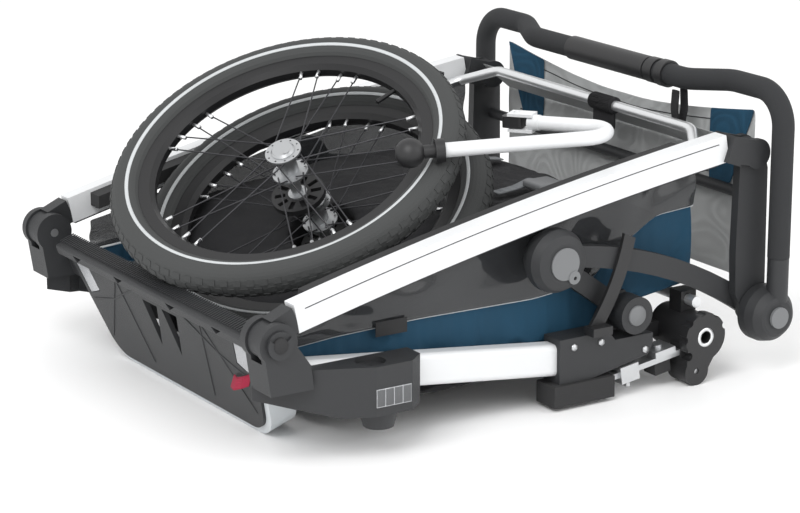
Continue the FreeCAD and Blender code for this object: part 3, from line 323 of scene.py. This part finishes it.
# %% Wheels
TYRE_MIDDLE, TYRE_HALF = 0.2265, 0.0235    # radius of the tyre's section centre, and of the section
RING_STEPS, RING_THICK = 160, 0.0006
TREAD_BLOCKS, TREAD_ROWS, TREAD_BLOCK = 84, (-28, 0, 28), (0.0016, 0.011, 0.0085)
NIPPLES, NIPPLE_RADIUS, NIPPLE_OFFSET = 20, 0.1795, 0.0028


def wheel_matrix(which):
    """Carries the wheel's own axes, with its axle along Z, to where it is stowed."""
    tilt = Vector((0, 0, 1)).rotation_difference(WHEEL_NORMAL).to_matrix().to_4x4()
    return Matrix.Translation(WHEELS[which]) @ tilt


def ring(name, profile, which, slot):
    """Spin an open profile of (radius, height) points round the wheel's axis."""
    bm = bmesh.new()
    verts = [bm.verts.new((r, 0, z)) for r, z in profile]
    edges = [bm.edges.new(pair) for pair in zip(verts, verts[1:])]
    bmesh.ops.spin(bm, geom=verts + edges, axis=(0, 0, 1), cent=(0, 0, 0), angle=2 * math.pi,
                   steps=RING_STEPS, use_merge=True)
    bmesh.ops.transform(bm, matrix=wheel_matrix(which), verts=bm.verts)
    return thicken(new_object(name, bm, MATERIALS[slot]), RING_THICK, 0)


def on_tyre(degrees, lift):
    angle = math.radians(degrees)
    return TYRE_MIDDLE + (TYRE_HALF + lift) * math.cos(angle), (TYRE_HALF + lift) * math.sin(angle)


def tread_matrix(k, row):
    """Where block k of a tread row sits; the outer rows are half a block out of step."""
    radius, height = on_tyre(row, -0.0002)
    return (Matrix.Rotation(2 * math.pi * (k + (row != 0) / 2) / TREAD_BLOCKS, 4, "Z")
            @ Matrix.Translation(Vector((radius, 0, height)))
            @ Matrix.Rotation(-math.radians(row), 4, "Y") @ Matrix.Diagonal((*TREAD_BLOCK, 1)))


def nipple_matrix(k):
    """Where nipple k sits: alternately above and below the rim's middle, leaning in pairs."""
    leading = 1 if (k // 2) % 2 else -1
    spin = Matrix.Rotation(2 * math.pi * (k + 0.5) / NIPPLES + leading * math.radians(50), 4, "Z")
    height = (1 if k % 2 else -1) * NIPPLE_OFFSET
    return spin @ (Matrix.Translation((NIPPLE_RADIUS, 0, height)) @ Matrix.Rotation(math.pi / 2, 4, "Y"))


for which in WHEELS:
    body = which + "_wheel"
    for face, sign in (("outer", 1), ("inner", -1)):
        band = [on_tyre(sign * (97 + 4 * k), 0.0002) for k in range(4)]
        dress(ring(f"{which}_{face}_reflective_ring", band, which, "piping"), body, "reflector")
    bm = bmesh.new()
    for k in range(TREAD_BLOCKS):
        for row in TREAD_ROWS:
            bmesh.ops.create_cube(bm, size=1, matrix=tread_matrix(k, row))
    bmesh.ops.transform(bm, matrix=wheel_matrix(which), verts=bm.verts)
    dress(new_object(which + "_tread", bm, MATERIALS["tyre"], False), body, "tyre")
    bm = bmesh.new()
    for k in range(NIPPLES):
        bmesh.ops.create_cone(bm, cap_ends=True, segments=10, radius1=0.0028, radius2=0.0024,
                              depth=0.013, matrix=nipple_matrix(k))
    bmesh.ops.transform(bm, matrix=wheel_matrix(which), verts=bm.verts)
    dress(new_object(which + "_nipples", bm, MATERIALS["silver_tube"]), body, "spoke_steel")

# %% [markdown]
# ## Side frames and front panel

# %% Pillar grooves drawn as thin dark lines of painted shade, gasket lines and panel ribs
PILLAR_START, PILLAR_END = Vector((-0.363, 0, 0.197)), Vector((0.317, 0, 0.328))
PILLAR_BOW = 0.010                         # how far the pillar's middle bows off its straight line
LEDGE_RIBS, LEDGE_HALF = 90, 0.262


def on_pillar(t, offset, y):
    """A point at share t along the pillar's bowed middle line, offset square to it."""
    way = (PILLAR_END - PILLAR_START).normalized()
    normal = Vector((-way.z, 0, way.x))
    spot = PILLAR_START.lerp(PILLAR_END, t) + normal * (PILLAR_BOW * 4 * t * (1 - t) + offset)
    spot.y = y
    return spot


for name, side in SIDES:
    seal = [on_pillar(0.01 + 0.97 * k / 24, -0.0212, side * 0.318) for k in range(25)]
    dress(cable(name + "_pillar_seal", seal, 0.0042, "rubber"), "side_frame", "rubber")
    # The groove is a thin black line on the white beam: painted shade standing for the dark of its recess.
    painted_groove_shade = [on_pillar(0.02 + 0.96 * k / 24, 0.009, side * 0.3299) for k in range(25)]
    dress(cable(name + "_pillar_groove_painted_shade", painted_groove_shade, 0.0007, "moulding"), "side_frame", "beam")

bm = bmesh.new()
slope = math.radians(19.5)
panel_low, panel_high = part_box("front_panel")
for k in range(LEDGE_RIBS):
    y = -LEDGE_HALF + 2 * LEDGE_HALF * k / (LEDGE_RIBS - 1)
    spot = Vector((panel_low.x + 0.0165, y, panel_high.z - 0.0004))
    bmesh.ops.create_cube(bm, size=1, matrix=Matrix.Translation(spot) @ Matrix.Rotation(-slope, 4, "Y")
                          @ Matrix.Diagonal((0.022, 0.0022, 0.0012, 1)))
dress(new_object("ledge_ribs", bm, MATERIALS["moulding"], False), "base", "moulding")

# %% Raised crease lines on the front panel
def on_panel(y, height):
    """A point of the front panel's outer face, height up its slope."""
    return Vector((-0.3399 - height * math.sin(slope), y, 0.0081 + height * math.cos(slope)))


# Each crease runs between two points, given as distance from the middle and height up the slope.
CREASES = (((0.205, 0.030), (0.120, 0.145)), ((0.120, 0.145), (0.085, 0.020)),
           ((0.225, 0.085), (0.150, 0.104)), ((0.150, 0.104), (0.060, 0.146)))
for name, side in SIDES:
    for k, (start, end) in enumerate(CREASES):
        line = [on_panel(side * start[0], start[1]), on_panel(side * end[0], end[1])]
        dress(cable(f"{name}_panel_crease_{k}", line, 0.0013, "moulding"), "base", "moulding")

# %% Wing strips, rivets, sleeve and fasteners
def round_edges(bm, offset, segments=2):
    bmesh.ops.bevel(bm, geom=bm.edges[:], offset=offset, segments=segments, affect="EDGES",
                    profile=0.5, material=-1)


def block(name, middle, size, slot, bevel=0.0008, turn=Matrix.Identity(4)):
    """A small box with rounded edges."""
    bm = bmesh.new()
    bmesh.ops.create_cube(bm, size=1, matrix=Matrix.Translation(middle) @ turn @ Matrix.Diagonal((*size, 1)))
    round_edges(bm, bevel)
    return new_object(name, bm, MATERIALS[slot])


def stud(name, middle, radius, depth, slot, axis=(0, 1, 0), segments=24):
    """A short round fastener along one axis."""
    bm = bmesh.new()
    turn = Vector((0, 0, 1)).rotation_difference(Vector(axis)).to_matrix().to_4x4()
    bmesh.ops.create_cone(bm, cap_ends=True, segments=segments, radius1=radius, radius2=radius * 0.86,
                          depth=depth, matrix=Matrix.Translation(middle) @ turn)
    return new_object(name, bm, MATERIALS[slot])


for name, side in SIDES:
    outward = (0, side, 0)
    for k in range(4):
        strip = block(f"{name}_wing_strip_{k}", (-0.2625 + 0.013 * k, side * 0.3667, 0.086),
                      (0.0115, 0.0006, 0.022), "strip", 0.0002)
        dress(strip, "base", "reflector")
    for k, x in enumerate((0.233, 0.247)):
        spot = (x, side * 0.2885, 0.303)
        rivet = stud(f"{name}_roof_tube_rivet_{k}", spot, 0.0035, 0.003, "steel", outward)
        dress(rivet, "side_frame", "silver_tube")
    for k, (x, z) in enumerate(((0.070, 0.085), (0.115, 0.085), (0.190, 0.062))):
        spot = (x, side * 0.3226, z)
        bolt = stud(f"{name}_bracket_bolt_{k}", spot, 0.0055, 0.003, "steel", outward, 6)
        dress(bolt, "base", "moulding")
    pivot = (-0.396, side * 0.3475, 0.172)
    disc = stud(name + "_knob_disc", pivot, 0.011, 0.004, "rubber", outward)
    dress(disc, name + "_front_knob", "moulding")
    link = (0.169, side * 0.3312, 0.115)
    cap = stud(name + "_link_cap", link, 0.015, 0.003, "grey_button", outward)
    dress(cap, "lower_links", "moulding")
    socket = (0.284, side * 0.3355, 0.067)
    bm = bmesh.new()
    bmesh.ops.create_circle(bm, segments=40, radius=0.0135, matrix=Matrix.Translation(socket)
                            @ Matrix.Rotation(math.pi / 2, 4, "X"))
    rim = bmesh.ops.extrude_edge_only(bm, edges=bm.edges[:])["geom"]
    inner = [item for item in rim if isinstance(item, bmesh.types.BMVert)]
    bmesh.ops.scale(bm, vec=(0.66, 1, 0.66), space=Matrix.Translation(-Vector(socket)), verts=inner)
    socket_ring = new_object(name + "_socket_ring", bm, MATERIALS["silver_tube"])
    dress(thicken(socket_ring, 0.002, 0), "base", "steel")

# The sleeve and its flap on the roof tube, and the tag on the left side.
bm = bmesh.new()
sleeve_at = Matrix.Translation((0.329, -0.035, 0.336)) @ Matrix.Rotation(math.pi / 2, 4, "X")
bmesh.ops.create_cone(bm, cap_ends=True, segments=32, radius1=0.0125, radius2=0.0125, depth=0.052,
                      matrix=sleeve_at)
round_edges(bm, 0.002)
dress(new_object("roof_tube_sleeve", bm, MATERIALS["black_webbing"]), "side_frame", "black_webbing")
flap = block("sleeve_flap", (0.329, -0.035, 0.316), (0.005, 0.050, 0.030), "black_webbing", 0.002)
dress(flap, "side_frame", "black_webbing")
tag = block("side_tag", (-0.196, -0.2855, 0.148), (0.048, 0.0014, 0.020), "rubber", 0.0005)
dress(tag, "base", "black_webbing")

# %% [markdown]
# ## Cloth body
# Blue side panels rise from the rails to a piped seam; film windows fill the space from there up
# to the pillars.

# %% Side panels and windows
# Outlines of the side cloth, as x and z from front to rear.
HEM = [(-0.345, 0.124), (-0.20, 0.108), (0.0, 0.086), (0.10, 0.080), (0.20, 0.118), (0.300, 0.130)]
SEAM = [(-0.345, 0.143), (-0.27, 0.148), (-0.15, 0.151), (0.03, 0.149), (0.12, 0.158), (0.18, 0.205),
        (0.24, 0.236), (0.300, 0.240)]
WINDOW_TOP = [(-0.335, 0.186), (-0.16, 0.226), (0.0, 0.262), (0.12, 0.286), (0.20, 0.302),
              (0.300, 0.318)]
SLACK = 0.015                              # how much longer the side cloth is than its outline


def by_x(line, u):
    """The point of an outline at share u of its length in X."""
    x = line[0][0] + (line[-1][0] - line[0][0]) * u
    for (x0, z0), (x1, z1) in zip(line, line[1:]):
        if x <= x1 + 1e-9:
            t = (x - x0) / (x1 - x0)
            t = t * t * (3 - 2 * t) * 0.4 + t * 0.6
            return Vector((x, z0 + (z1 - z0) * t))
    return Vector(line[-1])


def side_cloth(side):
    def place(u, v):
        low, high = by_x(HEM, u), by_x(SEAM, u)
        spot = low.lerp(high, v)
        belly = math.sin(math.pi * v) * (0.004 + 0.004 * noise.noise(Vector((spot.x * 16, spot.y * 9, side))))
        return Vector((spot.x, side * (0.2745 + belly), spot.y))
    return place


def held_edge(co):
    """True at the side cloth's hem, seam and two ends, where it is sewn down."""
    level = any(abs(co.z - by_x(line, (co.x + 0.345) / 0.645).y) < 0.002 for line in (HEM, SEAM))
    return level or co.x < -0.344 or co.x > 0.299


def window_film(side):
    def place(u, v):
        low, top = by_x(SEAM, u), by_x(WINDOW_TOP, u)
        sag = math.sin(math.pi * v) * noise.noise(Vector((u * 7, v * 1.5, 3)))
        return Vector((low.x, side * (0.2815 + 0.014 * sag), low.y + (top.y - low.y) * v))
    return place


for name, side in SIDES:
    cloth = surface(name + "_side_panel", 90, 24, side_cloth(side), "side_fabric")
    size = flat_area(cloth)
    settle(cloth, held_edge, SLACK)
    dress(thicken(cloth, 0.0012), "base", "side_fabric", "side_skirts")
    film = surface(name + "_window_film", 60, 12, window_film(side), "window_film")
    dress(thicken(film, 0.0008), "side_frame", "window_film", "side_windows")
    seam = [Vector((p.x, side * 0.2775, p.y)) for p in (by_x(SEAM, k / 60) for k in range(61))]
    dress(cable(name + "_piping", seam, 0.0022, "piping"), "base", "grey_fabric")

# %% Roof and rear wall
def roof_place(u, v):
    """The roof cloth, from the roof tube back and down, with shallow waves across its width."""
    x = 0.338 + (0.388 - 0.338) * v
    z = 0.337 - 0.042 * v + 0.004 * math.sin(math.pi * v) * math.sin(7 * math.pi * u)
    return Vector((x, -0.292 + 0.584 * u, z))


def rear_place(u, v):
    """The rear wall cloth, whose top edge dips between the posts."""
    sway = 0.003 * noise.noise(Vector((u * 9, v * 4, 2)))
    dip = 0.030 * math.sin(math.pi * u) * v
    return Vector((0.3925 + sway, -0.296 + 0.592 * u, 0.122 + 0.245 * v - dip))


def rear_corner(side):
    """A corner patch that follows the rear wall cloth, just in front of it."""
    def place(u, v):
        spot = rear_place(0.5 + side * (0.34 + 0.16 * u * (0.5 + 0.5 * v)), 0.55 + 0.45 * v)
        return spot - Vector((0.0022, 0, 0))
    return place


roof = surface("roof_cloth", 60, 10, roof_place, "grey_fabric")
dress(thicken(roof, 0.0012), "side_frame", "grey_fabric", "roof_panel")
rear = surface("rear_cloth", 60, 16, rear_place, "grey_fabric")
dress(thicken(rear, 0.0012), "rear_frame", "grey_fabric", "rear_wall")
for name, side in SIDES:
    corner = surface(name + "_rear_corner", 16, 16, rear_corner(side), "side_fabric")
    dress(thicken(corner, 0.001), "rear_frame", "side_fabric")
for k, level in enumerate((0.60, 0.93)):
    line = [rear_place(0.06 + 0.88 * j / 50, level) - Vector((0.0012, 0, 0)) for j in range(51)]
    dress(cable(f"rear_stitch_line_{k}", line, 0.0007, "black_webbing"), "rear_frame", "black_webbing")

# %% [markdown]
# ## Folded seat, harness and straps

# %% Folded seat
SEAT_VOXEL = 0.006
seat = NODES["folded_seat"].copy()
seat.data = NODES["folded_seat"].data.copy()
for key in list(seat.keys()):
    del seat[key]
seat.parent = None
seat.name = "folded_cloth_body"
bpy.context.scene.collection.objects.link(seat)
remesh = seat.modifiers.new("remesh", "REMESH")
remesh.mode, remesh.voxel_size = "VOXEL", SEAT_VOXEL
soften = seat.modifiers.new("soften", "SMOOTH")
soften.iterations, soften.factor = 12, 0.6
depsgraph = bpy.context.evaluated_depsgraph_get()
mesh = bpy.data.meshes.new_from_object(seat.evaluated_get(depsgraph))
seat.modifiers.clear()
seat.data = mesh
# The folds are cut mostly inwards, so the cloth keeps close to the space of its CAD block.
normals = [vert.normal.copy() for vert in mesh.vertices]
for vert, normal in zip(mesh.vertices, normals):
    fold = noise.noise(vert.co * 22) + 0.5 * noise.noise(vert.co * 60)
    vert.co -= normal * (0.002 + 0.004 * (0.6 + fold))
for polygon in mesh.polygons:
    polygon.use_smooth = True
dress(seat, "base", "seat_fabric", "folded_seat")

# %% Harness and straps
for name, side in SIDES:
    for k, offset in enumerate((-0.035, 0.035)):
        y = side * 0.12 + offset
        path = [(0.101, y, 0.2425), (0.14, y, 0.246), (0.17, y + 0.006, 0.252), (0.20, y, 0.246),
                (0.229, y - 0.004, 0.2425)]
        belt = ribbon(f"{name}_harness_belt_{k}", path, (0, 1, 0), 0.024, "harness_webbing")
        dress(belt, "base", "harness_webbing", *(["harness"] if side < 0 and k == 0 else []))
    bm = bmesh.new()
    buckle_at = Matrix.Translation((0.162, side * 0.12, 0.2545)) @ Matrix.Diagonal((0.044, 0.046, 0.011, 1))
    bmesh.ops.create_cube(bm, size=1, matrix=buckle_at)
    round_edges(bm, 0.004, 3)
    dress(new_object(name + "_harness_buckle", bm, MATERIALS["grey_button"]), "base", "harness_webbing")

wrist_low, wrist_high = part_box("wrist_strap")
x, top, y = wrist_high.x, wrist_high.z, (wrist_low.y + wrist_high.y) / 2
wrist = [(x + 0.004, y, top), (x + 0.006, y, top - 0.03), (x + 0.002, y, wrist_low.z + 0.002),
         (x - 0.008, y, wrist_low.z + 0.002), (x - 0.012, y, top - 0.03), (x - 0.010, y, top)]
loop = ribbon("wrist_loop", wrist, (0, 1, 0), 0.020, "black_webbing")
dress(loop, "handlebar", "black_webbing", "wrist_strap")

pull_low, pull_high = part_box("pull_strap")
mid_z = (pull_low.z + pull_high.z) / 2
INWARDS = Vector((0, 0.042, 0))            # the loop shows this much nearer the middle than its CAD node
pull = [(pull_low.x + 0.002, pull_low.y + 0.002, mid_z + 0.010),
        (pull_low.x - 0.004, pull_low.y + 0.014, mid_z + 0.004),
        (pull_low.x - 0.005, pull_low.y + 0.030, mid_z - 0.002),
        (pull_low.x + 0.002, pull_high.y + 0.002, mid_z - 0.004)]
pull = [Vector(point) + INWARDS for point in pull]
red = ribbon("red_pull_loop", pull, (0.33, 0, 0.94), 0.022, "red_webbing")
dress(red, "base", "red_webbing", "pull_strap")
